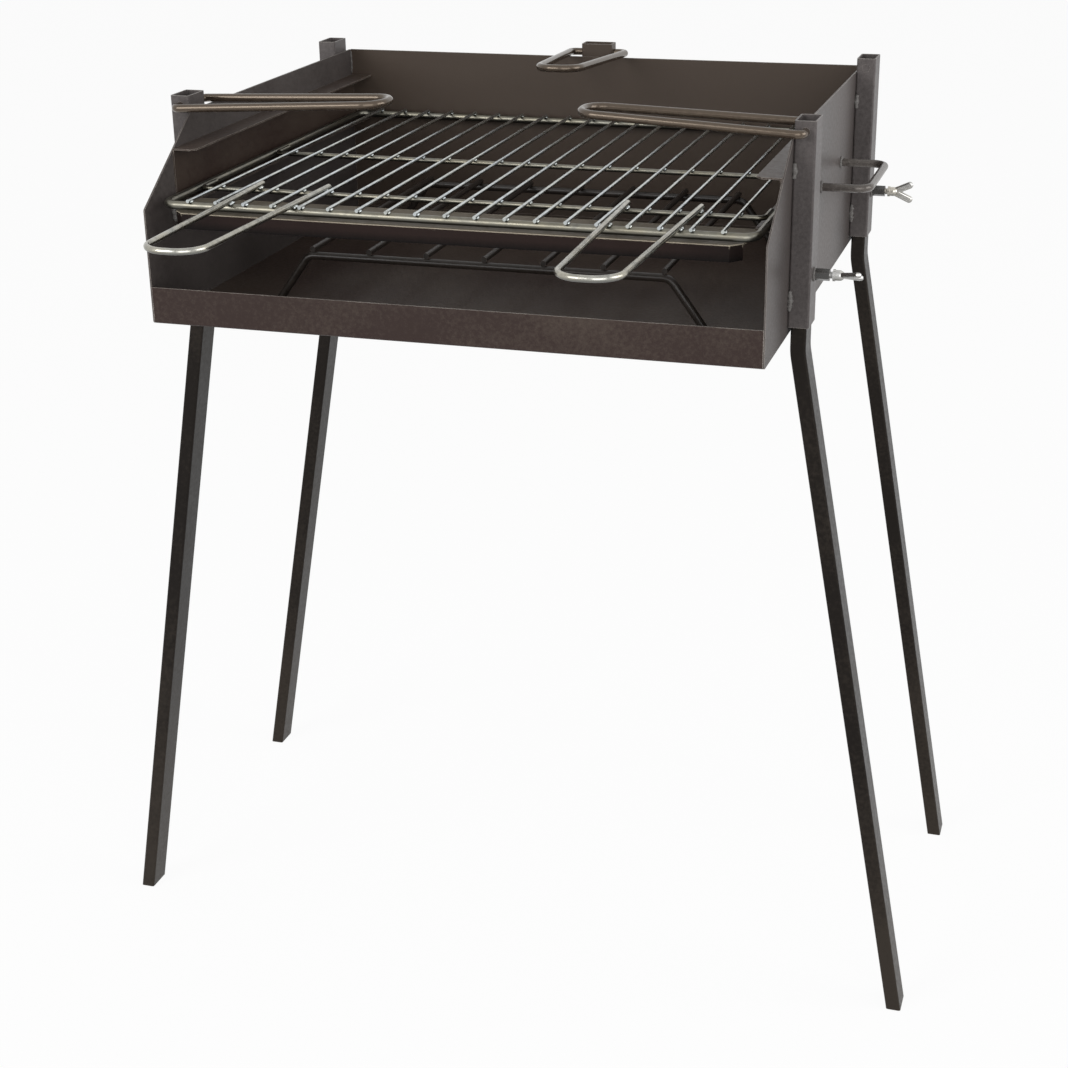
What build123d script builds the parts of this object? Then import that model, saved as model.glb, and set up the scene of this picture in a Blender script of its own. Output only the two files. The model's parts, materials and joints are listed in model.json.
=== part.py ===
"""Charcoal barbecue: an open sheet-steel fire box in four leg sleeves, with splayed legs held by
wing screws, three swing-out pan supports, a pull-out wire grill and a loose charcoal grate.

Millimetres. +X is the viewer's right, -Y the front, +Z up. The feet stand on Z = 0.
"""
import math
import os

from build123d import *

os.makedirs("parts", exist_ok=True)

# Fire box: one folded trough between two side walls
body_width = 600.0
body_depth = 526.0
body_height = 186.0
lip_height = 36.0
front_edge_height = 111.0
slant_run = 111.0
sheet = 1.5
fold_radius = 1.2
wall_corner = 3.0
total_height = 930.0

# Leg sleeves on the outside of the side walls
sleeve_x = 20.0
sleeve_y = 35.0
sleeve_wall = 1.5
sleeve_rise = 14.0
sleeve_lift = 8.0
sleeve_gap = 370.0
sleeve_setback = 128.0

# Legs: straight inside the sleeve, then splayed to the side
leg_x = 15.0
leg_y = 30.0
leg_wall = 1.5
leg_in_sleeve = 140.0
leg_bend_drop = 25.0
leg_bend_radius = 60.0
foot_spread = 876.0

# Clamp nuts and wing screws
nut_flats = 10.0
nut_length = 15.0
screw_radius = 3.0
screw_clearance = 0.05
screw_height = 48.0
screw_hole_clearance = 0.4
screw_tip_gap = 0.1
hub_gap = 3.0
hub_length = 11.0
hub_radius = 5.6
flange_thickness = 2.2
dome_radius = 4.9
wing_reach = 30.0
wing_spread = 11.5
wing_width = 7.5
wing_thickness = 4.6
wing_round = 1.9

# Pan supports: hinged rod loops
pan_rod_radius = 4.0
pan_pivot_clearance = 0.06
pan_root_width = 64.0
pan_tip_width = 43.0
pan_length = 216.0
rear_pan_length = 174.0
pan_rise_deg = 2.5
pan_root_bend = 7.0
pan_tip_bend = 20.0
pan_stub_inside = 5.0
block_height = 80.0
rest_gap = 0.3

# Folded channels inside the side walls and the front ledge between them, which carry the grill
shelf_height = 157.0
shelf_width = 24.0
shelf_front_gap = 65.0
shelf_corner = 6.0
ledge_height = 15.0
ledge_depth = 66.0
ledge_setback = 8.0
ledge_fold = 10.0
ledge_end_gap = 24.0
ledge_lap = 8.0

# Carry handles on the side walls
carry_rod_radius = 4.0
carry_width = 124.0
carry_reach = 51.0
carry_bend = 13.0
carry_drop = 80.0
carry_along = 0.56

# Pull-out grill
grill_inset = 16.0
grill_plane = 114.0
grill_back_gap = 12.0
grill_side_gap = 8.0
grill_rod_radius = 4.0
grill_corner = 14.0
grill_gaps = 20
cross_bar_radius = 2.5
cross_bar_places = (0.14, 0.495)
cross_bar_bend = 8.0
cross_bar_end = 32.0
wire_radius = 1.7
wire_past_front_bar = 6.0
wire_past_rear_bar = 2.5
weld_sink = 0.3
handle_rod_radius = 3.0
handle_reach = 195.0
handle_tip_past_bar = 10.0
handle_tip_width = 70.0
handle_end_width = 54.0
handle_bend = 24.0
handle_inset = 102.0

# Loose charcoal grate
grate_rod_radius = 4.0
grate_height = 44.0
grate_front_gap = 119.0
grate_back_gap = 64.0
grate_half_top = 185.0
grate_half_foot = 217.0
grate_bend = 14.0
grate_cross_radius = 3.0
grate_cross_count = 7
grate_cross_pitch = 60.0
grate_cross_overhang = 1.5

# Places worked out from the sizes above
overall_depth = body_depth + handle_reach - grill_inset + sleeve_x
front_y = -overall_depth / 2 + handle_reach - grill_inset
back_y = front_y + body_depth
half_width = body_width / 2
inner_half = half_width - sheet
wall_top = total_height - sleeve_rise
floor_z = wall_top - body_height
front_sleeve_y = front_y + sleeve_setback
rear_sleeve_y = front_sleeve_y + sleeve_gap
sleeve_centre_x = half_width + sleeve_x / 2
sleeve_bottom = floor_z + sleeve_lift
block_centre_y = back_y + sleeve_x / 2
pan_slope = math.tan(math.radians(pan_rise_deg))
pan_over_wall = pan_rod_radius / math.cos(math.radians(pan_rise_deg)) + rest_gap
pivot_z = wall_top + pan_over_wall - sleeve_x / 2 * pan_slope
pivot_hole = pan_rod_radius + pan_pivot_clearance
clamp_z = sleeve_bottom + screw_height
grill_z = floor_z + grill_plane
grill_front = front_y + grill_inset
grill_back = back_y - grill_back_gap
grill_depth = grill_back - grill_front
grill_half = inner_half - grill_side_gap - grill_rod_radius
wire_pitch = 2 * grill_half / grill_gaps
shelf_top = floor_z + shelf_height
rail_top = grill_z - grill_rod_radius - rest_gap
grate_z = floor_z + sheet + grate_height


def bent_rod(points, bends, radius):
    """Round rod through the points, each inner point rounded with its own bend."""
    corners = [Vector(*point) for point in points]
    with BuildPart() as rod:
        with BuildLine() as path:
            start = corners[0]
            for place, bend in enumerate(bends):
                corner = corners[place + 1]
                back = (corners[place] - corner).normalized()
                ahead = (corners[place + 2] - corner).normalized()
                half_angle = math.radians(back.get_angle(ahead)) / 2
                run = bend / math.tan(half_angle)
                middle = (back + ahead).normalized()
                crown = corner + middle * (bend / math.sin(half_angle) - bend)
                if (corner + back * run - start).length > 0.01:
                    Line(start, corner + back * run)
                ThreePointArc(corner + back * run, crown, corner + ahead * run)
                start = corner + ahead * run
            Line(start, corners[-1])
        spine = path.wire()
        with BuildSketch(Plane(origin=spine @ 0, z_dir=spine % 0)):
            Circle(radius)
        sweep(path=spine)
    return rod.part


def keep(piece, name):
    """Name a finished piece and write its file."""
    piece.label = name
    export_step(piece, f"parts/{name}.step")


# Trough: lip, floor and back panel folded from one sheet
with BuildPart() as trough:
    with BuildSketch(Plane.YZ):
        with BuildLine():
            Polyline(
                (front_y, floor_z + lip_height),
                (front_y, floor_z),
                (back_y, floor_z),
                (back_y, wall_top),
                (back_y - sheet, wall_top),
                (back_y - sheet, floor_z + sheet),
                (front_y + sheet, floor_z + sheet),
                (front_y + sheet, floor_z + lip_height),
                close=True,
            )
        make_face()
    extrude(amount=inner_half, both=True)
    outer_folds = trough.edges().filter_by(Axis.X).filter_by_position(Axis.Z, floor_z - 0.1, floor_z + 0.1)
    fillet(outer_folds, fold_radius + sheet)
    inner_z = floor_z + sheet
    inner_folds = trough.edges().filter_by(Axis.X).filter_by_position(Axis.Z, inner_z - 0.1, inner_z + 0.1)
    fillet(inner_folds.filter_by(GeomType.LINE), fold_radius)
keep(trough.part, "trough")


def side_wall(side):
    """Flat side wall with a slanted front edge, over the trough's end."""
    with BuildPart() as wall:
        with BuildSketch(Plane.YZ.offset(side * inner_half)) as outline:
            with BuildLine():
                Polyline(
                    (front_y, floor_z),
                    (back_y, floor_z),
                    (back_y, wall_top),
                    (front_y + slant_run, wall_top),
                    (front_y, floor_z + front_edge_height),
                    close=True,
                )
            make_face()
            fillet(outline.vertices(), wall_corner)
        extrude(amount=side * sheet)
    return wall.part


keep(side_wall(-1), "left_side_wall")
keep(side_wall(1), "right_side_wall")


def tube(size_x, size_y, wall):
    """Section of a rectangular tube, drawn in the open sketch."""
    RectangleRounded(size_x, size_y, wall * 1.4)
    RectangleRounded(size_x - 2 * wall, size_y - 2 * wall, wall * 0.5, mode=Mode.SUBTRACT)


def leg_sleeve(side, sleeve_place, hinged):
    """Leg sleeve with a screw hole in its outer face and, where a loop hinges, a pivot hole through it."""
    with BuildPart() as sleeve:
        with BuildSketch(Plane((side * sleeve_centre_x, sleeve_place, sleeve_bottom))):
            tube(sleeve_x, sleeve_y, sleeve_wall)
        extrude(amount=total_height - sleeve_bottom)
        if hinged:
            with BuildSketch(Plane((side * sleeve_centre_x, sleeve_place, pivot_z), z_dir=(0, 1, 0))):
                Circle(pivot_hole)
            extrude(amount=sleeve_y, both=True, mode=Mode.SUBTRACT)
        with BuildSketch(Plane((side * sleeve_centre_x, sleeve_place, clamp_z), z_dir=(side, 0, 0))):
            Circle(screw_radius + screw_hole_clearance)
        extrude(amount=sleeve_x, mode=Mode.SUBTRACT)
    return sleeve.part


keep(leg_sleeve(-1, front_sleeve_y, True), "left_front_sleeve")
keep(leg_sleeve(1, front_sleeve_y, True), "right_front_sleeve")
keep(leg_sleeve(-1, rear_sleeve_y, False), "left_rear_sleeve")
keep(leg_sleeve(1, rear_sleeve_y, False), "right_rear_sleeve")

# Rear support block: a short piece of the sleeve tube, turned sideways
with BuildPart() as rear_block:
    with BuildSketch(Plane((0, block_centre_y, total_height - block_height))):
        tube(sleeve_y, sleeve_x, sleeve_wall)
    extrude(amount=block_height)
    with BuildSketch(Plane((0, block_centre_y, pivot_z), z_dir=(1, 0, 0))):
        Circle(pivot_hole)
    extrude(amount=sleeve_y, both=True, mode=Mode.SUBTRACT)
keep(rear_block.part, "rear_support_block")


def leg(side, place_y):
    """Bent tube leg, cut flat at the floor."""
    top = sleeve_bottom + leg_in_sleeve
    bend_z = sleeve_bottom - leg_bend_drop
    centre_x = side * sleeve_centre_x
    splay = (side * foot_spread / 2 - centre_x) / bend_z
    past_floor = 25.0
    angle = abs(math.atan(splay))
    run = leg_bend_radius * math.tan(angle / 2)
    slope = Vector(splay, 0, -1).normalized()
    corner = Vector(centre_x, place_y, bend_z)
    arc_start = corner + Vector(0, 0, run)
    arc_end = corner + slope * run
    inward = (slope - Vector(0, 0, -1)).normalized()
    crown = corner + inward * (leg_bend_radius / math.cos(angle / 2) - leg_bend_radius)
    with BuildPart() as bent:
        with BuildLine() as path:
            Line((centre_x, place_y, top), arc_start)
            ThreePointArc(arc_start, crown, arc_end)
            Line(arc_end, (centre_x + splay * (bend_z + past_floor), place_y, -past_floor))
        with BuildSketch(Plane((centre_x, place_y, top), x_dir=(1, 0, 0), z_dir=(0, 0, -1))):
            tube(leg_x, leg_y, leg_wall)
        sweep(path=path.wire())
        split(bisect_by=Plane.XY, keep=Keep.TOP)
    return bent.part


keep(leg(-1, front_sleeve_y), "left_front_leg")
keep(leg(1, front_sleeve_y), "right_front_leg")
keep(leg(-1, rear_sleeve_y), "left_rear_leg")
keep(leg(1, rear_sleeve_y), "right_rear_leg")


def clamp_nut(side, place_y):
    """Long hexagon nut welded to a sleeve's outer face."""
    with BuildPart() as nut:
        with BuildSketch(Plane((side * (half_width + sleeve_x), place_y, clamp_z), z_dir=(side, 0, 0))):
            RegularPolygon(nut_flats / 2, 6, major_radius=False)
            Circle(screw_radius + screw_clearance, mode=Mode.SUBTRACT)
        extrude(amount=nut_length)
    return nut.part


def wing_screw(side, place_y, turn_deg):
    """Wing screw: shank through nut and sleeve, flanged hub with a dome and two thick rounded wings."""
    face = Plane((side * (half_width + sleeve_x), place_y, clamp_z), x_dir=(0, 1, 0), z_dir=(side, 0, 0))
    tip_depth = sleeve_x / 2 - leg_x / 2 - screw_tip_gap
    hub_start = nut_length + hub_gap
    flange_end = hub_start + flange_thickness
    dome_start = hub_start + hub_length - dome_radius
    dome_slant = dome_radius * math.sqrt(0.5)
    wing_end = nut_length + wing_reach
    turn = math.radians(turn_deg)
    wing_plane = Plane(face.origin, x_dir=(side, 0, 0), z_dir=(0, math.cos(turn), math.sin(turn)))
    root = Vector(dome_start, 0)
    lobe = Vector(wing_end - wing_width / 2, wing_spread - wing_width / 2)
    middle = (root + lobe) / 2
    lean = math.degrees(math.atan2(lobe.Y - root.Y, lobe.X - root.X))
    with BuildPart() as screw:
        with BuildSketch(wing_plane):
            with BuildLine():
                Polyline(
                    (dome_start + dome_radius, 0),
                    (-tip_depth, 0),
                    (-tip_depth, screw_radius),
                    (hub_start, screw_radius),
                    (hub_start, hub_radius),
                    (flange_end, hub_radius),
                    (flange_end, dome_radius),
                    (dome_start, dome_radius),
                )
                ThreePointArc(
                    (dome_start, dome_radius),
                    (dome_start + dome_slant, dome_slant),
                    (dome_start + dome_radius, 0),
                )
            make_face()
        revolve(axis=Axis(face.origin, face.z_dir))
        for half in (-1, 1):
            with BuildPart(mode=Mode.PRIVATE) as wing:
                with BuildSketch(wing_plane):
                    with Locations((middle.X, half * middle.Y)):
                        SlotCenterToCenter((lobe - root).length, wing_width, rotation=half * lean)
                extrude(amount=wing_thickness / 2, both=True)
                flat_sides = wing.faces().sort_by(Axis(face.origin, wing_plane.z_dir))
                fillet(flat_sides[0].edges() + flat_sides[-1].edges(), wing_round)
            add(wing.part)
    return screw.part


keep(clamp_nut(-1, front_sleeve_y), "left_front_clamp_nut")
keep(clamp_nut(1, front_sleeve_y), "right_front_clamp_nut")
keep(clamp_nut(-1, rear_sleeve_y), "left_rear_clamp_nut")
keep(clamp_nut(1, rear_sleeve_y), "right_rear_clamp_nut")
keep(wing_screw(-1, front_sleeve_y, 35), "left_front_wing_screw")
keep(wing_screw(1, front_sleeve_y, 67), "right_front_wing_screw")
keep(wing_screw(-1, rear_sleeve_y, -20), "left_rear_wing_screw")
keep(wing_screw(1, rear_sleeve_y, 0), "right_rear_wing_screw")


def pan_loop(place, length, stub_start):
    """Hinged loop: two stubs into the pivot holes, two arms that narrow to a rounded end."""
    root = pan_root_width / 2
    tip = pan_tip_width / 2
    end = length - pan_rod_radius
    lift = end * pan_slope
    flat = [
        (0, -stub_start, 0),
        (0, -root, 0),
        (end, -tip, lift),
        (end, tip, lift),
        (0, root, 0),
        (0, stub_start, 0),
    ]
    points = [place(*point) for point in flat]
    bends = [pan_root_bend, pan_tip_bend, pan_tip_bend, pan_root_bend]
    return bent_rod(points, bends, pan_rod_radius)


pan_stub = sleeve_y / 2 - sleeve_wall - pan_stub_inside


def left_place(along, across, up):
    """Point of the left loop, measured inwards from its pivot."""
    return (-sleeve_centre_x + along, front_sleeve_y + across, pivot_z + up)


def right_place(along, across, up):
    """Point of the right loop, measured inwards from its pivot."""
    return (sleeve_centre_x - along, front_sleeve_y + across, pivot_z + up)


def rear_place(along, across, up):
    """Point of the rear loop, measured forwards from its pivot."""
    return (across, block_centre_y - along, pivot_z + up)


keep(pan_loop(left_place, pan_length, pan_stub), "left_pan_support")
keep(pan_loop(right_place, pan_length, pan_stub), "right_pan_support")
keep(pan_loop(rear_place, rear_pan_length, pan_stub), "rear_pan_support")


def shelf_channel(side):
    """Folded channel on a side wall: an upper shelf, a web on the wall and the rail for the grill."""
    front = front_y + shelf_front_gap
    back = back_y - sheet
    wall_face = side * inner_half
    inner_edge = side * (inner_half - shelf_width)
    with BuildPart() as channel:
        with BuildSketch(Plane.XZ.offset(-back)):
            with BuildLine():
                Polyline(
                    (wall_face, shelf_top),
                    (inner_edge, shelf_top),
                    (inner_edge, shelf_top - sheet),
                    (wall_face - side * sheet, shelf_top - sheet),
                    (wall_face - side * sheet, rail_top),
                    (inner_edge, rail_top),
                    (inner_edge, rail_top - sheet),
                    (wall_face, rail_top - sheet),
                    close=True,
                )
            make_face()
        extrude(amount=back - front)
        tips = channel.edges().filter_by(Axis.Z).filter_by_position(Axis.Y, front - 0.1, front + 0.1)
        free_tips = tips.filter_by_position(Axis.X, inner_edge - 0.1, inner_edge + 0.1)
        chamfer(free_tips, shelf_corner)
    return channel.part


keep(shelf_channel(-1), "left_shelf_channel")
keep(shelf_channel(1), "right_shelf_channel")

# Front ledge: laps under the two rails, its hanging front flange bent back at both ends
ledge_top = rail_top - sheet
ledge_front = front_y + ledge_setback
ledge_back = ledge_front + ledge_depth
ledge_end = inner_half - ledge_end_gap
ledge_corner = ledge_end - ledge_fold
with BuildPart() as front_ledge:
    with BuildSketch(Plane.XY.offset(ledge_top)):
        with BuildLine():
            Polyline(
                (-ledge_corner, ledge_front),
                (ledge_corner, ledge_front),
                (ledge_end, ledge_front + ledge_fold),
                (ledge_end + ledge_lap, ledge_back),
                (-ledge_end - ledge_lap, ledge_back),
                (-ledge_end, ledge_front + ledge_fold),
                close=True,
            )
        make_face()
    extrude(amount=-sheet)
    with BuildSketch(Plane.XY.offset(ledge_top)):
        with BuildLine() as flange_line:
            Polyline(
                (-ledge_end, ledge_front + ledge_fold),
                (-ledge_corner, ledge_front),
                (ledge_corner, ledge_front),
                (ledge_end, ledge_front + ledge_fold),
            )
            offset(amount=sheet, side=Side.LEFT)
        make_face()
    extrude(amount=-ledge_height)
keep(front_ledge.part, "front_ledge")


def carry_handle(side):
    """Bent rod handle welded to the outside of a side wall."""
    middle = front_sleeve_y + carry_along * sleeve_gap
    height = wall_top - carry_drop
    wall_x = side * half_width
    outer_x = side * (half_width + carry_reach - carry_rod_radius)
    points = [
        (wall_x, middle - carry_width / 2, height),
        (outer_x, middle - carry_width / 2, height),
        (outer_x, middle + carry_width / 2, height),
        (wall_x, middle + carry_width / 2, height),
    ]
    return bent_rod(points, [carry_bend, carry_bend], carry_rod_radius)


keep(carry_handle(-1), "left_carry_handle")
keep(carry_handle(1), "right_carry_handle")

# Grill frame: a closed loop of rod with rounded corners, begun in the middle of the rear bar
frame_points = [
    (0, grill_back, grill_z),
    (-grill_half, grill_back, grill_z),
    (-grill_half, grill_front, grill_z),
    (grill_half, grill_front, grill_z),
    (grill_half, grill_back, grill_z),
    (0, grill_back, grill_z),
]
keep(bent_rod(frame_points, [grill_corner] * 4, grill_rod_radius), "grill_frame")

# Cross bars level with the frame's top, their ends bent back along its sides
cross_half = grill_half - grill_rod_radius - cross_bar_radius + weld_sink
cross_z = grill_z + grill_rod_radius - cross_bar_radius
cross_places = [grill_front + share * grill_depth for share in cross_bar_places]
with BuildPart() as grill_cross_bars:
    for place_y in cross_places:
        bar_points = [
            (-cross_half, place_y + cross_bar_end, cross_z),
            (-cross_half, place_y, cross_z),
            (cross_half, place_y, cross_z),
            (cross_half, place_y + cross_bar_end, cross_z),
        ]
        add(bent_rod(bar_points, [cross_bar_bend] * 2, cross_bar_radius))
keep(grill_cross_bars.part, "grill_cross_bars")

# Long wires on top of the frame and the cross bars
wire_z = grill_z + grill_rod_radius + wire_radius - weld_sink
wire_start = grill_front - wire_past_front_bar
wire_length = grill_back + wire_past_rear_bar - wire_start
with BuildPart() as grill_wires:
    for number in range(1, grill_gaps):
        with BuildSketch(Plane((number * wire_pitch - grill_half, wire_start, wire_z), z_dir=(0, 1, 0))):
            Circle(wire_radius)
        extrude(amount=wire_length)
keep(grill_wires.part, "grill_wires")


def grill_handle(side):
    """Rod handle on the front bar and the first cross bar, narrowing to its rounded end."""
    middle = side * (grill_half - handle_inset)
    height = grill_z + grill_rod_radius + handle_rod_radius - weld_sink
    tip_y = cross_places[0] + handle_tip_past_bar
    end_y = grill_front - handle_reach + handle_rod_radius
    points = [
        (middle - handle_tip_width / 2, tip_y, height),
        (middle - handle_end_width / 2, end_y, height),
        (middle + handle_end_width / 2, end_y, height),
        (middle + handle_tip_width / 2, tip_y, height),
    ]
    return bent_rod(points, [handle_bend, handle_bend], handle_rod_radius)


keep(grill_handle(-1), "grill_left_handle")
keep(grill_handle(1), "grill_right_handle")


def grate_rod(place_y):
    """Grate rod with both ends bent down and splayed into feet that stand on the floor."""
    past_floor = 8.0
    spread = (grate_half_foot - grate_half_top) / grate_height
    low_half = grate_half_foot + past_floor * spread
    low_z = floor_z + sheet - past_floor
    points = [
        (-low_half, place_y, low_z),
        (-grate_half_top, place_y, grate_z),
        (grate_half_top, place_y, grate_z),
        (low_half, place_y, low_z),
    ]
    whole = bent_rod(points, [grate_bend, grate_bend], grate_rod_radius)
    with BuildPart() as rod:
        add(whole)
        split(bisect_by=Plane.XY.offset(floor_z + sheet + rest_gap), keep=Keep.TOP)
    return rod.part


grate_front = front_y + grate_front_gap
grate_back = back_y - grate_back_gap
keep(grate_rod(grate_front), "grate_front_rod")
keep(grate_rod(grate_back), "grate_rear_rod")

# Grate cross rods on top of the two bent rods
grate_cross_z = grate_z + grate_rod_radius + grate_cross_radius - weld_sink
grate_cross_start = grate_front - grate_cross_overhang
grate_cross_length = grate_back - grate_front + 2 * grate_cross_overhang
with BuildPart() as grate_cross_rods:
    for number in range(grate_cross_count):
        place_x = (number - (grate_cross_count - 1) / 2) * grate_cross_pitch
        with BuildSketch(Plane((place_x, grate_cross_start, grate_cross_z), z_dir=(0, 1, 0))):
            Circle(grate_cross_radius)
        extrude(amount=grate_cross_length)
keep(grate_cross_rods.part, "grate_cross_rods")
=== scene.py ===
# %% [markdown]
# # A charcoal barbecue, dressed
#
# The solids of this barbecue were drawn as CAD: a sheet-steel fire box, four tube legs, a wire grill and
# the small parts that move. This lesson gives them their finish. It loads the solids as a fixed frame,
# sets up a white photo studio, mixes the paints and the zinc, and adds what a workshop leaves behind:
# weld beads, weld spots and screw threads. Every size is in metres, in the same frame as the CAD.

# %% Load the frame
import json
import math

import bmesh
import bpy
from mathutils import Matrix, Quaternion, Vector


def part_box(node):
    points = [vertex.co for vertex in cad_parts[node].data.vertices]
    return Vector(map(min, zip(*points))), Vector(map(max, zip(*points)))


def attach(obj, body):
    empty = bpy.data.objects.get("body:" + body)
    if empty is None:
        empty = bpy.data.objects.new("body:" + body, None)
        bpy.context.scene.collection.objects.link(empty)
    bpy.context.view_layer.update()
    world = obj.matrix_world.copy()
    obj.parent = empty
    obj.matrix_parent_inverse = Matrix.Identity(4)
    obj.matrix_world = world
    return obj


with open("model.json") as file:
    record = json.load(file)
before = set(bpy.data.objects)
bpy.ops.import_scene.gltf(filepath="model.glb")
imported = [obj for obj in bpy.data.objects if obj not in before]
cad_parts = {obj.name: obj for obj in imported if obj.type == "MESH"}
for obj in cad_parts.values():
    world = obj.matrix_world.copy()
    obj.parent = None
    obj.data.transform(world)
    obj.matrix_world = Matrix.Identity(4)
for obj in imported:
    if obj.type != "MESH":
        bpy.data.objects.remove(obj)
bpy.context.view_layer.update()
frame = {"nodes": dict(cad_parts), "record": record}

nodes = frame["nodes"]
scene = bpy.context.scene
scene.view_settings.view_transform = "Standard"

# %% [markdown]
# ## A small helper for shader graphs
#
# A Blender material is a graph of nodes, and long graphs are tiring to wire up by hand. The class below
# wraps one output socket. Adding or multiplying two wrapped sockets adds the Math node that does it, and
# the method `add` adds any other node. The materials further down then read like short sums.

# %% Socket helper
class Flow:
    """One output socket of a node tree, with sums that add the nodes they need."""

    def __init__(self, tree, socket):
        self.tree = tree
        self.socket = socket

    def add(self, kind, settings, inputs, result=0):
        """Add a node of any kind: its settings first, then the values or links of its inputs."""
        node = self.tree.nodes.new(kind)
        for name, value in settings.items():
            setattr(node, name, value)
        for name, value in inputs.items():
            if isinstance(value, Flow):
                self.tree.links.new(value.socket, node.inputs[name])
            else:
                node.inputs[name].default_value = value
        return Flow(self.tree, node.outputs[result])

    def maths(self, operation, first, second):
        """A Math node of two numbers or sockets."""
        return self.add("ShaderNodeMath", {"operation": operation}, {0: first, 1: second})

    def __add__(self, other):
        return self.maths("ADD", self, other)

    def __radd__(self, other):
        return self.maths("ADD", other, self)

    def __sub__(self, other):
        return self.maths("SUBTRACT", self, other)

    def __rsub__(self, other):
        return self.maths("SUBTRACT", other, self)

    def __mul__(self, other):
        return self.maths("MULTIPLY", self, other)

    def __rmul__(self, other):
        return self.maths("MULTIPLY", other, self)

    def into(self, node, name):
        """Link this socket to a named input."""
        self.tree.links.new(self.socket, node.inputs[name])


def mix_colours(factor, first, second):
    """Blend two colours by a socket."""
    inputs = {0: factor, 6: first, 7: second}
    return factor.add("ShaderNodeMix", {"data_type": "RGBA"}, inputs, 2)


def seen_directly(tree):
    """1 for the rays that show a background: straight to the camera, mirrored or through glass."""
    path = tree.nodes.new("ShaderNodeLightPath")
    camera = Flow(tree, path.outputs["Is Camera Ray"])
    mirrored = Flow(tree, path.outputs["Is Glossy Ray"])
    through = Flow(tree, path.outputs["Is Transmission Ray"])
    return camera.maths("MAXIMUM", camera.maths("MAXIMUM", camera, mirrored), through)


print("socket helper ready")

# %% [markdown]
# ## The studio
#
# The picture to match is a cut-out on white. The world therefore looks pure white to the camera and to
# reflections, while the light that it sheds is dimmer. The floor is a pale sheet that glows a little for
# the camera, so that it reads as white and still keeps a soft shadow under the legs.

# %% World and floor
white = (1.0, 1.0, 1.0, 1.0)
paper_white = (0.86, 0.86, 0.86, 1.0)
ambient_level = 0.35
floor_half = 30.0
floor_glow = 0.94

world = bpy.data.worlds.new("studio_white")
scene.world = world
world.use_nodes = True
world_tree = world.node_tree
world_tree.nodes.clear()
world_out = world_tree.nodes.new("ShaderNodeOutputWorld")
shown = seen_directly(world_tree)
dim = shown.add("ShaderNodeBackground", {}, {"Color": white, "Strength": ambient_level})
bright = shown.add("ShaderNodeBackground", {}, {"Color": white, "Strength": 1.0})
shown.add("ShaderNodeMixShader", {}, {0: shown, 1: dim, 2: bright}).into(world_out, "Surface")

floor_mesh = bpy.data.meshes.new("studio_floor")
around = [(-1, -1), (1, -1), (1, 1), (-1, 1)]
corners = [(floor_half * right, floor_half * back, 0.0) for right, back in around]
floor_mesh.from_pydata(corners, [], [(0, 1, 2, 3)])
floor = bpy.data.objects.new("studio_floor", floor_mesh)
scene.collection.objects.link(floor)

floor_paper = bpy.data.materials.new("floor_paper")
floor_paper.use_nodes = True
floor_tree = floor_paper.node_tree
floor_tree.nodes.clear()
floor_out = floor_tree.nodes.new("ShaderNodeOutputMaterial")
seen = seen_directly(floor_tree)
paper = seen.add("ShaderNodeBsdfDiffuse", {}, {"Color": paper_white})
glow = seen.add("ShaderNodeEmission", {}, {"Color": white, "Strength": 1.0})
seen.add("ShaderNodeMixShader", {}, {0: seen * floor_glow, 1: paper, 2: glow}).into(floor_out, "Surface")
floor_mesh.materials.append(floor_paper)
print("floor of", 2 * floor_half, "m")

# %% [markdown]
# ## The camera
#
# The view is from the front and a little to the right, looking down into the fire box. The camera's place
# and focal length were found by matching corners of the posts, the body and the feet with the picture.

# %% Camera
front_of_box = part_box("trough")[0].y
camera_place = Vector((0.603, front_of_box - 1.634, 1.251))
camera_azimuth = math.radians(17.62)
camera_drop = math.radians(22.23)
camera_roll = math.radians(-0.9)
focal_length = 65.7

camera_data = bpy.data.cameras.new("camera")
camera_data.sensor_width = 36.0
camera_data.lens = focal_length
camera = bpy.data.objects.new("camera", camera_data)
scene.collection.objects.link(camera)
look_x = -math.sin(camera_azimuth) * math.cos(camera_drop)
look_y = math.cos(camera_azimuth) * math.cos(camera_drop)
look = Vector((look_x, look_y, -math.sin(camera_drop)))
camera.rotation_mode = "QUATERNION"
camera.rotation_quaternion = look.to_track_quat("-Z", "Y") @ Quaternion((0, 0, 1), camera_roll)
camera.location = camera_place
scene.camera = camera
print("camera at", tuple(camera_place))

# %% [markdown]
# ## The lamps
#
# One soft lamp stands in front, to the left and well above the grill: the shadows of the rod loops fall to
# the right on the back panel. A larger one in front on the right fills the faces that the right wall shades,
# and a weaker one at the right lifts the faces that look that way. Large lamps keep the highlights on the
# rods calm.

# %% Lamps
def soft_lamp(name, place, target, size, watts):
    """A square area lamp that faces a point."""
    lamp_data = bpy.data.lights.new(name, "AREA")
    lamp_data.shape = "SQUARE"
    lamp_data.size = size
    lamp_data.energy = watts
    lamp = bpy.data.objects.new(name, lamp_data)
    scene.collection.objects.link(lamp)
    lamp.location = place
    lamp.rotation_mode = "QUATERNION"
    lamp.rotation_quaternion = (Vector(target) - Vector(place)).to_track_quat("-Z", "Y")


body_middle = (0.0, 0.05, 0.82)
soft_lamp("key_lamp", (-3.1, -4.9, 3.0), body_middle, 3.4, 208.0)
soft_lamp("fill_lamp", (2.7, -5.4, 2.4), body_middle, 5.0, 198.0)
soft_lamp("right_lamp", (4.6, 0.2, 2.2), body_middle, 3.0, 105.0)

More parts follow.
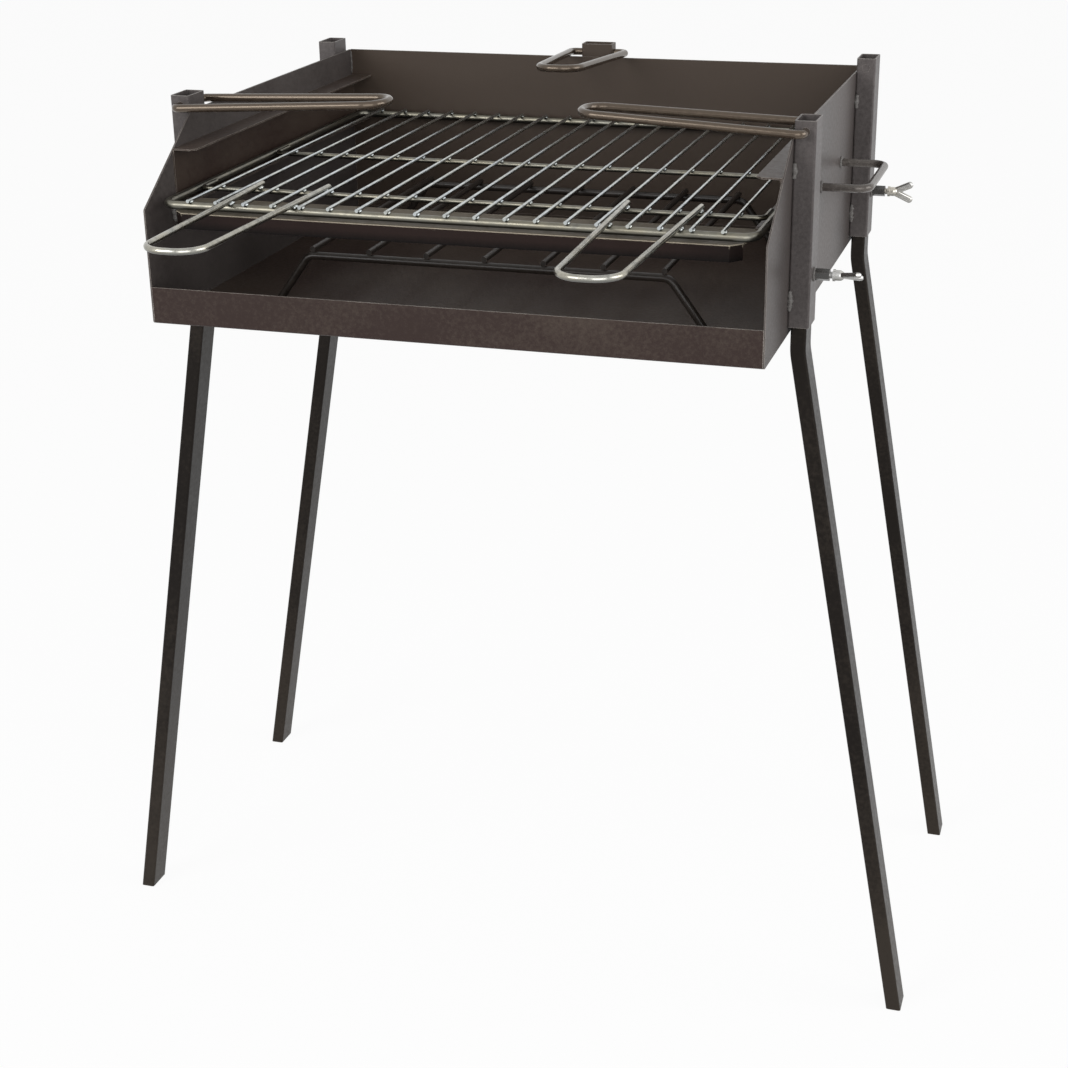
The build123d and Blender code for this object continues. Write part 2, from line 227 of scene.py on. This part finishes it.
# %% [markdown]
# ## Paint
#
# The steel is sprayed with heat-proof anthracite paint, a brown-black satin. A sprayed coat is never one
# flat colour: it has soft cloudy patches, a fine dusty grain and lighter edges, partly worn bare and partly a
# painted highlight where the edge catches the light. Noise at three sizes makes these, and the same grain
# goes into a bump so that highlights break up as on real paint.
# The coat is also painted paler on the back panel and darker on the front lip, a painted light gradient,
# and the legs are painted lighter towards their feet and darker towards their tops, painted light from the
# floor. Both follow from the place on the piece, so they need no painted map.

# %% Paint
def begin_material(name):
    """A new material with its shader and the place on the piece, in metres."""
    made = bpy.data.materials.new(name)
    made.use_nodes = True
    tree = made.node_tree
    shader = tree.nodes["Principled BSDF"]
    coordinates = tree.nodes.new("ShaderNodeTexCoord")
    return made, shader, Flow(tree, coordinates.outputs["Object"])


def noise(place, scale, detail=2.0):
    """Noise from 0 to 1 with that many waves in a metre."""
    return place.add("ShaderNodeTexNoise", {}, {"Vector": place, "Scale": scale, "Detail": detail})


def spread(flow, low, high, to_low, to_high):
    """Stretch a range of a socket onto another range, held at its ends."""
    inputs = {"Value": flow, "From Min": low, "From Max": high, "To Min": to_low, "To Max": to_high}
    return flow.add("ShaderNodeMapRange", {"clamp": True}, inputs)


def edge_mask(place, width):
    """1 along sharp edges and 0 on flat faces, from how far a rounded normal leaves the true one."""
    rounded = place.add("ShaderNodeBevel", {"samples": 4}, {"Radius": width})
    true_normal = place.add("ShaderNodeNewGeometry", {}, {}, 1)
    inputs = {0: rounded, 1: true_normal}
    agree = place.add("ShaderNodeVectorMath", {"operation": "DOT_PRODUCT"}, inputs, 1)
    return spread(agree, 0.72, 0.97, 1.0, 0.0)


cloud_waves = 7.0
wear_waves = 45.0
dust_waves = 260.0
grain_waves = 950.0
cloud_share = 0.5
dust_share = 0.3
grain_share = 0.2
bump_depth = 0.0003
back_of_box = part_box("trough")[1].y
fade_start = 0.003
fade_end = 0.03
floor_light_full = 0.03
floor_light_none = 0.40


def paint(name, tones, edge_colour_and_highlight, gloss, edge_width=0.0009, bump=0.22, shine=0.2, cast=1.0, light_gradient_painted=0.0, floor_light_painted=0.0):
    """Sprayed satin paint between two tones, with worn edges that are also a painted highlight, painted light
    paler at the back, and painted floor light at the foot.
    """
    dark, light = tones
    made, shader, place = begin_material(name)
    shader.inputs["Specular IOR Level"].default_value = shine
    shader.inputs["Specular Tint"].default_value = (1.0, (1.0 + cast) / 2, cast, 1.0)
    clouds = noise(place, cloud_waves, 3.0)
    grain = noise(place, grain_waves, 1.0)
    dust = noise(place, dust_waves, 2.0)
    patchy = clouds * cloud_share + dust * dust_share + grain * grain_share
    depth = place.add("ShaderNodeSeparateXYZ", {}, {0: place}, 1)
    height = place.add("ShaderNodeSeparateXYZ", {}, {0: place}, 2)
    # Painted light from the floor: lighter near the ground and darker higher up, on the legs.
    painted_floor_light = spread(height, floor_light_full, floor_light_none, floor_light_painted, -floor_light_painted)
    # Painted light: paler towards the back panel and darker on the front lip.
    painted_light_at_back = spread(depth, back_of_box - fade_end, back_of_box - fade_start, 0.0, light_gradient_painted)
    painted_shade_at_front = spread(depth, front_of_box + fade_start, front_of_box + fade_end, 0.5 * light_gradient_painted, 0.0)
    tone = spread(patchy + painted_light_at_back - painted_shade_at_front + painted_floor_light, 0.36, 0.64, 0.0, 1.0)
    coat = mix_colours(tone, (*dark, 1.0), (*light, 1.0))
    # Worn edges and a painted highlight: sharp edges are lifted towards the edge colour, in rubbed patches.
    rubs = spread(noise(place, wear_waves, 3.0), 0.35, 0.6, 0.45, 1.0)
    worn_and_highlit = edge_mask(place, edge_width) * rubs
    mix_colours(worn_and_highlit, coat, (*edge_colour_and_highlight, 1.0)).into(shader, "Base Color")
    dusty = spread(dust, 0.3, 0.7, -0.05, 0.07)
    cloudy = spread(clouds, 0.3, 0.7, gloss - 0.03, gloss + 0.05)
    (dusty + cloudy).into(shader, "Roughness")
    bump_inputs = {"Strength": bump, "Distance": bump_depth, "Height": grain * 0.5 + dust * 0.5}
    place.add("ShaderNodeBump", {}, bump_inputs).into(shader, "Normal")
    return made


print("paint runs from", round(front_of_box, 3), "to", round(back_of_box, 3))

# %% [markdown]
# ## The paints
#
# Each paint is a pair of tones, dark and light, with the colour of its worn edges, which is also a painted
# highlight. The sheet is a red brown; the side walls and the sleeves take lighter, greyer copies of it, which
# are painted light. The bent rods are smooth enough to shine, with a warm reflection. The legs are nearly
# black where they leave the sleeves and painted lighter towards their feet, painted light from the floor.
# Nine separate node trees would drift apart as they are tuned, so all of them come from the one function
# above.

# %% Mix the paints
# Edge colours: worn metal and a painted highlight.
sheet_edge_and_highlight = (0.38, 0.345, 0.31)
rod_edge_and_highlight = (0.16, 0.125, 0.10)
weld_edge_and_highlight = (0.26, 0.25, 0.24)
sheet_tones = ((0.025, 0.0144, 0.0120), (0.057, 0.0425, 0.0330))
# The side walls and the sleeves take lighter, greyer copies of the sheet tones: painted light.
wall_tones_painted_light = ((0.039, 0.0330, 0.0308), (0.081, 0.0700, 0.0660))
sleeve_tones_painted_light = ((0.049, 0.0425, 0.0410), (0.101, 0.0895, 0.0870))
leg_tones = ((0.0010, 0.0007, 0.0010), (0.0200, 0.0160, 0.0128))
nut_tones = ((0.016, 0.0148, 0.0132), (0.034, 0.031, 0.028))
carry_tones = ((0.053, 0.046, 0.042), (0.092, 0.081, 0.074))
rod_tones = ((0.028, 0.0203, 0.0150), (0.046, 0.0338, 0.0255))
grate_tones = ((0.012, 0.0095, 0.0080), (0.028, 0.022, 0.018))
weld_tones = ((0.075, 0.069, 0.065), (0.165, 0.157, 0.150))
body_paint = paint("body_paint", sheet_tones, sheet_edge_and_highlight, 0.40, light_gradient_painted=0.22)
wall_paint_painted_light = paint("wall_paint_painted_light", wall_tones_painted_light, sheet_edge_and_highlight, 0.40)
sleeve_paint_painted_light = paint("sleeve_paint_painted_light", sleeve_tones_painted_light, sheet_edge_and_highlight, 0.40)
leg_paint = paint("leg_paint", leg_tones, sheet_edge_and_highlight, 0.36, cast=0.75, floor_light_painted=0.13)
nut_paint = paint("nut_paint", nut_tones, rod_edge_and_highlight, 0.22, 0.0005, bump=0.08, shine=0.8)
carry_paint = paint("carry_paint", carry_tones, rod_edge_and_highlight, 0.22, 0.0004, bump=0.08, shine=0.55, cast=0.85)
rod_paint = paint("rod_paint", rod_tones, rod_edge_and_highlight, 0.17, 0.0004, bump=0.08, shine=0.8, cast=0.65)
grate_paint = paint("grate_paint", grate_tones, rod_edge_and_highlight, 0.32, 0.0004, bump=0.12, shine=0.35)
weld_paint = paint("weld_paint", weld_tones, weld_edge_and_highlight, 0.36, 0.0003)
print("paints mixed")

# %% [markdown]
# ## Zinc
#
# The grill is drawn wire with a bright zinc plating, and so are the wing screws. Plating is silvery with a
# faint yellow and green cast that drifts along the wire, and fine draw marks run along it. Stretching the
# noise along one axis turns round blotches into marks with a direction.

# %% Zinc
drift_waves = 28.0
patch_waves = 120.0
mark_waves = 900.0


def facing_up(place):
    """How far a surface faces up: 1 on top, 0 on its sides, -1 below."""
    normal = place.add("ShaderNodeNewGeometry", {}, {}, 1)
    return place.add("ShaderNodeSeparateXYZ", {}, {0: normal}, 2)


def zinc(name, silver, tinted, dulled_and_shaded, gloss, stretch, bump=0.12):
    """Plated metal: silver that drifts to a tint, with draw marks along one axis and painted shade on its
    underside.
    """
    made, shader, place = begin_material(name)
    shader.inputs["Metallic"].default_value = 1.0
    drawn = place.add("ShaderNodeMapping", {"vector_type": "POINT"}, {"Vector": place, "Scale": stretch})
    drift = spread(noise(place, drift_waves, 3.0), 0.38, 0.62, 0.0, 1.0)
    marks = noise(drawn, mark_waves, 2.0)
    patches = spread(noise(place, patch_waves, 3.0), 0.45, 0.75, 0.0, 0.5)
    # Painted shade: faces that look down take the dulled colour, as if they mirrored the dark box below.
    painted_underside_shade = spread(facing_up(place), -0.6, 0.2, 0.8, 0.0)
    dull_patches_and_shade = patches.maths("MAXIMUM", patches, painted_underside_shade)
    plated = mix_colours(drift, (*silver, 1.0), (*tinted, 1.0))
    mix_colours(dull_patches_and_shade, plated, (*dulled_and_shaded, 1.0)).into(shader, "Base Color")
    streaks = spread(marks, 0.3, 0.7, gloss - 0.05, gloss + 0.08)
    (streaks + dull_patches_and_shade * 0.12).into(shader, "Roughness")
    bump_inputs = {"Strength": bump, "Distance": 0.0001, "Height": marks}
    place.add("ShaderNodeBump", {}, bump_inputs).into(shader, "Normal")
    return made


along_x = (0.04, 1.0, 1.0)
along_y = (1.0, 0.04, 1.0)
# Underside colours: dull zinc that also carries the painted shade.
wire_dull_and_shade = (0.075, 0.077, 0.072)
screw_dull_and_shade = (0.22, 0.215, 0.20)
zinc_wire = zinc("zinc_wire", (0.55, 0.59, 0.61), (0.56, 0.58, 0.55), wire_dull_and_shade, 0.22, along_y)
zinc_bar = zinc("zinc_bar", (0.18, 0.174, 0.148), (0.187, 0.174, 0.136), wire_dull_and_shade, 0.31, along_x)
zinc_handle = zinc("zinc_handle", (0.40, 0.396, 0.36), (0.41, 0.39, 0.33), wire_dull_and_shade, 0.22, along_y)
zinc_screw = zinc("zinc_screw", (0.52, 0.52, 0.51), (0.52, 0.49, 0.43), screw_dull_and_shade, 0.20, along_x)
print("zinc plated")

# %% [markdown]
# ## Smoke, wear and painted shade on the ledge
#
# The ledge under the grill's front bar lives in the smoke. Its flange is brown near the top and black at its
# foot and towards its ends, from soot and from painted shade. Its top and its front edge are light: rubbed
# bare by the grill, and a painted highlight where the fold catches the light. The place on the piece and the
# direction that a face looks in are enough to tell these zones apart.

# %% Ledge finish
soot_and_shade_start = 0.080
soot_and_shade_full = 0.012
rub_and_highlight_width = 0.0020


def smoked_and_shaded_paint(name, soot_and_shade, brown, bare_and_highlight, foot, top, half_length):
    """Paint that is black at its foot and both ends with soot and painted shade, and light on its top and
    upper edge, rubbed bare and painted with a highlight.
    """
    made, shader, place = begin_material(name)
    shader.inputs["Specular IOR Level"].default_value = 0.06
    dust = noise(place, dust_waves, 2.0)
    height = place.add("ShaderNodeSeparateXYZ", {}, {0: place}, 2)
    across = place.add("ShaderNodeSeparateXYZ", {}, {0: place}, 0)
    from_middle = across.maths("ABSOLUTE", across, 0.0)
    # Soot and painted shade: the flange darkens towards its foot and its ends.
    middle = spread(from_middle, half_length - soot_and_shade_start, half_length - soot_and_shade_full, 1.0, 0.42)
    free_of_soot_and_shade = spread(height + dust * 0.002, foot, top, 0.0, 1.0) * middle
    coat = mix_colours(free_of_soot_and_shade, (*soot_and_shade, 1.0), (*brown, 1.0))
    # Wear and painted highlight: faces that look up and the upper edge are lifted towards the bare colour.
    top_highlight_and_wear = spread(facing_up(place), 0.5, 0.95, 0.0, 0.22)
    upper = spread(height, top + 0.002, top + 0.0045, 0.0, 1.0)
    rubbed_and_highlit = free_of_soot_and_shade.maths("MAXIMUM", edge_mask(place, rub_and_highlight_width), top_highlight_and_wear) * upper
    mix_colours(rubbed_and_highlit, coat, (*bare_and_highlight, 1.0)).into(shader, "Base Color")
    spread(dust, 0.3, 0.7, 0.42, 0.54).into(shader, "Roughness")
    bump_inputs = {"Strength": 0.2, "Distance": bump_depth, "Height": dust}
    place.add("ShaderNodeBump", {}, bump_inputs).into(shader, "Normal")
    return made


ledge_low, ledge_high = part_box("front_ledge")
# One black for the soot and the painted shade, and one light colour for bare metal and the painted highlight.
soot_and_shade = (0.0035, 0.0028, 0.0026)
brown = (0.0165, 0.0102, 0.0090)
bare_and_highlight = (0.60, 0.53, 0.41)
ledge_foot = ledge_low.z + 0.001
ledge_brow = ledge_high.z - 0.006
ledge_paint = smoked_and_shaded_paint("ledge_paint", soot_and_shade, brown, bare_and_highlight, ledge_foot, ledge_brow, ledge_high.x)
print("ledge from", round(ledge_low.z, 3), "to", round(ledge_high.z, 3))

# %% [markdown]
# ## Finishes onto the solids
#
# The CAD record says which finish each solid takes. The materials above carry the same names, so the solids
# are dressed in one loop, and nothing is forgotten. A few solids differ a little from their neighbours: the
# side walls and the sleeves take lighter, greyer paints that are painted light, the nuts and carrying handles
# shine more, the ledge is stained by smoke and darkened by painted shade, and the grill's bars and handles
# are warmer than its wires.

# %% Dress the solids
finishes = {
    "body_paint": body_paint,
    "leg_paint": leg_paint,
    "rod_paint": rod_paint,
    "grate_paint": grate_paint,
    "zinc_wire": zinc_wire,
    "zinc_screw": zinc_screw,
}
own_finish = {"front_ledge": ledge_paint, "grill_frame": zinc_bar, "grill_cross_bars": zinc_bar}
for side in ("left", "right"):
    own_finish["grill_" + side + "_handle"] = zinc_handle
    own_finish[side + "_carry_handle"] = carry_paint
    own_finish[side + "_side_wall"] = wall_paint_painted_light
    for end in ("front", "rear"):
        own_finish[side + "_" + end + "_sleeve"] = sleeve_paint_painted_light
        own_finish[side + "_" + end + "_clamp_nut"] = nut_paint
for subpart in frame["record"]["subparts"]:
    node = subpart["node"]
    mesh = nodes[node].data
    mesh.materials.clear()
    mesh.materials.append(own_finish.get(node, finishes[subpart["material_slot"]]))

# %% [markdown]
# ## Tubes that swell and shrink
#
# Weld beads and screw threads are all small round ridges that follow a line. One helper is enough for them:
# it sweeps a ring of points along a path, with a radius of its own at every step, and closes the ends. A
# curve with a bevel would do the same, but a mesh made point by point keeps full control of the swelling.

# %% Tube helper
def tube(shape, path, radii, sides=10, joined=False):
    """Add a round tube along a path to a mesh in the making. A joined tube is a closed ring."""
    count = len(path)
    across = None
    rings = []
    for step, point in enumerate(path):
        before = path[step - 1] if joined or step > 0 else point
        after = path[(step + 1) % count] if joined or step < count - 1 else point
        along = (after - before).normalized()
        if across is None:
            across = along.orthogonal()
        across = (across - along * across.dot(along)).normalized()
        other = along.cross(across)
        ring = []
        for side in range(sides):
            angle = 2 * math.pi * side / sides
            offset = across * math.cos(angle) + other * math.sin(angle)
            ring.append(shape.verts.new(point + offset * radii[step]))
        rings.append(ring)
    pairs = list(zip(rings, rings[1:]))
    if joined:
        pairs.append((rings[-1], rings[0]))
    else:
        shape.faces.new(list(reversed(rings[0])))
        shape.faces.new(rings[-1])
    for first, second in pairs:
        for side in range(sides):
            beside = (side + 1) % sides
            shape.faces.new((first[side], first[beside], second[beside], second[side]))


def piece(name, shape, finish, body):
    """Turn a mesh in the making into a smooth piece that moves with a body."""
    mesh = bpy.data.meshes.new(name)
    bmesh.ops.recalc_face_normals(shape, faces=shape.faces)
    shape.to_mesh(mesh)
    shape.free()
    mesh.shade_smooth()
    mesh.materials.append(finish)
    made = bpy.data.objects.new(name, mesh)
    scene.collection.objects.link(made)
    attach(made, body)


print("tube helper ready")

# %% [markdown]
# ## Weld tacks on the box
#
# The four leg sleeves and the rear block are held to the sheet by short welds in the corner between the two.
# A hand-held torch leaves a row of overlapping drops, so a tack is a tube with rounded ends and a few
# swells. Each sleeve has a short tack near its top and a longer one near its foot, on both of its edges.

# %% Weld tacks
tack_steps = 17
tack_fill = 0.985
tack_swell = 0.2
tack_wander = 0.12
wander_turn = 4.1
wander_start = 60.0


def tack(shape, middle, along, length, thickness, swells):
    """A short weld: a tube with rounded ends that swells a few times and wanders a little."""
    path = []
    radii = []
    for step in range(tack_steps):
        place = 2.0 * step / (tack_steps - 1) - 1.0
        inside = tack_fill * place
        rounded = (1.0 - inside ** 4) ** 0.5
        swell = 1.0 + tack_swell * math.cos(swells * math.pi * place)
        wander = tack_wander * thickness * math.sin(wander_turn * place + wander_start * middle.y)
        path.append(middle + along * (place * length / 2) + along.orthogonal().normalized() * wander)
        radii.append(thickness * rounded * swell)
    tube(shape, path, radii)


upright = Vector((0.0, 0.0, 1.0))
tack_radius = 0.0026
tack_offset = 0.0018
upper_drop = 0.045
upper_length = 0.015
lower_rise = 0.026
lower_length = 0.020
sleeves = ["left_front_sleeve", "right_front_sleeve", "left_rear_sleeve", "right_rear_sleeve"]
for sleeve in sleeves:
    low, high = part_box(sleeve)
    outward = 1.0 if low.x > 0 else -1.0
    wall_x = low.x if outward > 0 else high.x
    shape = bmesh.new()
    for edge_y, away in ((low.y, -1.0), (high.y, 1.0)):
        corner_x = wall_x + outward * tack_offset
        corner_y = edge_y + away * tack_offset
        tack(shape, Vector((corner_x, corner_y, high.z - upper_drop)), upright, upper_length, tack_radius, 2)
        tack(shape, Vector((corner_x, corner_y, low.z + lower_rise)), upright, lower_length, tack_radius, 4)
    piece(sleeve + "_welds", shape, weld_paint, "fire_box")

block_upper_drop = 0.026
block_upper_length = 0.014
block_lower_rise = 0.014
block_lower_length = 0.016
low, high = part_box("rear_support_block")
shape = bmesh.new()
for edge_x, away in ((low.x, -1.0), (high.x, 1.0)):
    corner = Vector((edge_x + away * tack_offset, low.y + tack_offset, 0.0))
    tack(shape, corner + upright * (high.z - block_upper_drop), upright, block_upper_length, tack_radius, 2)
    tack(shape, corner + upright * (low.z + block_lower_rise), upright, block_lower_length, tack_radius, 3)
piece("rear_support_block_welds", shape, weld_paint, "fire_box")
print("tacks on", len(sleeves), "sleeves and the rear block")

# %% [markdown]
# ## Welds at the rails' front ends
#
# The grill rests on two rails along the side walls. Each rail's front end is welded to its wall with a short
# run of weld that ends in a drop down the wall. One shows as a light strip under the left end of the grill's
# front bar. A bent tube would have an even elbow there, so it is two tacks in one mesh instead: one along the
# wall and one that hangs from its end.

# %% Rail end welds
rail_weld_radius = 0.0028
rail_weld_run = 0.011
rail_weld_drop = 0.021
backward = Vector((0.0, 1.0, 0.0))
for side in ("left", "right"):
    rail_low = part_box(side + "_shelf_channel")[0]
    wall_low, wall_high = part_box(side + "_side_wall")
    weld_x = wall_high.x + tack_offset if side == "left" else wall_low.x - tack_offset
    run_start = Vector((weld_x, rail_low.y, rail_low.z))
    run_end = run_start - backward * (rail_weld_run - rail_weld_radius)
    shape = bmesh.new()
    tack(shape, (run_start + run_end) / 2, backward, rail_weld_run, rail_weld_radius, 2)
    tack(shape, run_end - upright * rail_weld_drop / 2, upright, rail_weld_drop, rail_weld_radius, 3)
    piece(side + "_rail_end_weld", shape, weld_paint, "fire_box")
print("two rails welded at their front ends")

# %% [markdown]
# ## Corner seams and a closed hole
#
# Above the shelves the back panel is seamed to the side walls: a thin bright bead stands in each rear corner.
# The right rear sleeve has its pivot hole closed, because no loop hinges there. What shows is a faint ring
# round the plug, so the ring is a shallow bead that lies half in the sleeve's front face.

# %% Corner seams and the closed hole
sheet = 0.0015
seam_radius = 0.0010
seam_offset = 0.0004
seam_gap = 0.003
back_face = back_of_box - sheet
wall_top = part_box("trough")[1].z
shelf_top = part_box("left_shelf_channel")[1].z
seam_length = wall_top - shelf_top - seam_gap
for side in ("left", "right"):
    wall_low, wall_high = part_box(side + "_side_wall")
    seam_x = wall_high.x + seam_offset if side == "left" else wall_low.x - seam_offset
    middle = Vector((seam_x, back_face - seam_offset, (wall_top + shelf_top) / 2))
    shape = bmesh.new()
    tack(shape, middle, upright, seam_length, seam_radius, 12)
    piece(side + "_corner_seam", shape, weld_paint, "fire_box")

plug_drop = 0.010
plug_sink = 0.0002
plug_radius = 0.0041
plug_bead = 0.0005
plug_steps = 40
low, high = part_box("right_rear_sleeve")
plug_middle = Vector(((low.x + high.x) / 2, low.y + plug_sink, high.z - plug_drop))
plug_path = []
for step in range(plug_steps):
    angle = 2 * math.pi * step / plug_steps
    plug_path.append(plug_middle + Vector((math.cos(angle), 0.0, math.sin(angle))) * plug_radius)
shape = bmesh.new()
tube(shape, plug_path, [plug_bead] * plug_steps, sides=8, joined=True)
piece("right_rear_hole_plug", shape, sleeve_paint_painted_light, "fire_box")
print("two corner seams and one closed hole")

# %% [markdown]
# ## Weld collars
#
# A rod or a nut that stands on a sheet is welded all round. The bead is a closed ring of drops that hides
# the joint: one round each end of the two carrying handles and one round the foot of each clamp nut.

# %% Weld collars
collar_steps = 48
collar_swell = 0.16


def collar(shape, middle, ring_radius, thickness, drops):
    """A closed weld bead round a rod that stands out sideways."""
    path = []
    radii = []
    for step in range(collar_steps):
        angle = 2 * math.pi * step / collar_steps
        path.append(middle + Vector((0.0, math.cos(angle), math.sin(angle))) * ring_radius)
        radii.append(thickness * (1.0 + collar_swell * math.cos(drops * angle)))
    tube(shape, path, radii, joined=True)


collar_gap = 0.0004
rod_bead = 0.0016
rod_lift = 0.0006
nut_bead = 0.0013
nut_lift = 0.0005
for side in ("left", "right"):
    outward = 1.0 if side == "right" else -1.0
    low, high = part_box(side + "_carry_handle")
    wall_low, wall_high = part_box(side + "_side_wall")
    weld_x = wall_high.x + rod_lift if side == "right" else wall_low.x - rod_lift
    rod_radius = (high.z - low.z) / 2
    height = (high.z + low.z) / 2
    shape = bmesh.new()
    for rod_y in (low.y + rod_radius, high.y - rod_radius):
        collar(shape, Vector((weld_x, rod_y, height)), rod_radius + collar_gap, rod_bead, 9)
    piece(side + "_carry_handle_welds", shape, weld_paint, "fire_box")
    for end in ("front", "rear"):
        low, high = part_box(side + "_" + end + "_clamp_nut")
        foot_x = low.x if outward > 0 else high.x
        middle = Vector((foot_x + outward * nut_lift, (low.y + high.y) / 2, (low.z + high.z) / 2))
        flats = min(high.y - low.y, high.z - low.z)
        shape = bmesh.new()
        collar(shape, middle, flats / 2 + collar_gap, nut_bead, 7)
        piece(side + "_" + end + "_nut_weld", shape, weld_paint, "fire_box")
print("collars on two handles and four nuts")

# %% [markdown]
# ## Weld spots of the grill
#
# A wire grill is welded by pressing hot wires into the bars, and a little metal squeezes out beside each
# crossing. Those lumps catch the light in rows. They are placed by the wires' even spacing and by where the
# bars lie between the front and the back of the frame, so they stay on the crossings.

# %% Weld spots
frame_low, frame_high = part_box("grill_frame")
frame_rod = (frame_high.z - frame_low.z) / 2
grill_left = frame_low.x + frame_rod
grill_right = frame_high.x - frame_rod
grill_front = frame_low.y + frame_rod
grill_back = frame_high.y - frame_rod
wire_gaps = 20
bar_places = (0.0, 0.14, 0.495, 1.0)
bar_lines = [grill_front + place * (grill_back - grill_front) for place in bar_places]

spot_pairs = ((0.0017, 0.00115), (-0.0016, 0.0008))
spot_stretch = 5.2
spot_lift = 0.0001
spot_wander = 0.0003
spot_turn = 37.0
shape = bmesh.new()
spots = 0
for gap in range(1, wire_gaps):
    wire_x = grill_left + gap * (grill_right - grill_left) / wire_gaps
    for bar_y in bar_lines:
        spot_y = bar_y + spot_wander * math.sin(spot_turn * wire_x)
        for beside, size in spot_pairs:
            middle = Vector((wire_x + beside, spot_y, frame_high.z + spot_lift))
            tack(shape, middle, backward, spot_stretch * size, size, 1)
            spots += 1
piece("grill_weld_spots", shape, zinc_wire, "grill")
print("weld spots:", spots)

# %% [markdown]
# ## Welds of the grill handles
#
# Each handle is one bent rod that lies on the front bar and ends just past the first cross bar. It is tacked
# to both bars on its right side, where the photographed welds show as small silver lumps.

# %% Handle welds
handle_rod = 0.003
handle_end_width = 0.054
handle_weld_aside = 0.0029
handle_weld_lift = 0.0006
handle_weld_length = 0.0085
handle_weld_radius = 0.0017
for side in ("left", "right"):
    low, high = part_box("grill_" + side + "_handle")
    middle_x = (low.x + high.x) / 2
    tip_half = (high.x - low.x) / 2 - handle_rod
    end_half = handle_end_width / 2
    shape = bmesh.new()
    for bar_y in bar_lines[:2]:
        share = (bar_y - low.y) / (high.y - low.y)
        half = end_half + share * (tip_half - end_half)
        for arm in (-1.0, 1.0):
            spot_x = middle_x + arm * half + handle_weld_aside
            spot = Vector((spot_x, bar_y, frame_high.z + handle_weld_lift))
            tack(shape, spot, backward, handle_weld_length, handle_weld_radius, 2)
    piece("grill_" + side + "_handle_welds", shape, zinc_wire, "grill")
print("handle welds done")

# %% [markdown]
# ## Screw threads
#
# The wing screws have an ordinary metric thread, which shows in the few millimetres between the nut and the
# wings. It is a helix: a thin ridge that goes once round for every millimetre of length. The ridge turns
# with its screw, so it rides on the screw's own body.

# %% Threads
thread_radius = 0.00298
thread_pitch = 0.001
thread_ridge = 0.0004
thread_room = 0.0028
thread_gap = 0.0005
points_a_turn = 16
for side in ("left", "right"):
    outward = 1.0 if side == "right" else -1.0
    for end in ("front", "rear"):
        low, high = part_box(side + "_" + end + "_clamp_nut")
        start_x = (high.x if outward > 0 else low.x) + outward * thread_gap
        axis_y = (low.y + high.y) / 2
        axis_z = (low.z + high.z) / 2
        path = []
        for step in range(round(points_a_turn * thread_room / thread_pitch) + 1):
            angle = 2 * math.pi * step / points_a_turn
            along = outward * thread_pitch * step / points_a_turn
            round_y = thread_radius * math.cos(angle)
            round_z = thread_radius * math.sin(angle)
            path.append(Vector((start_x + along, axis_y + round_y, axis_z + round_z)))
        shape = bmesh.new()
        tube(shape, path, [thread_ridge] * len(path), sides=6)
        screw = side + "_" + end + "_wing_screw"
        piece(screw + "_thread", shape, zinc_screw, screw)
print("threads cut on four screws")
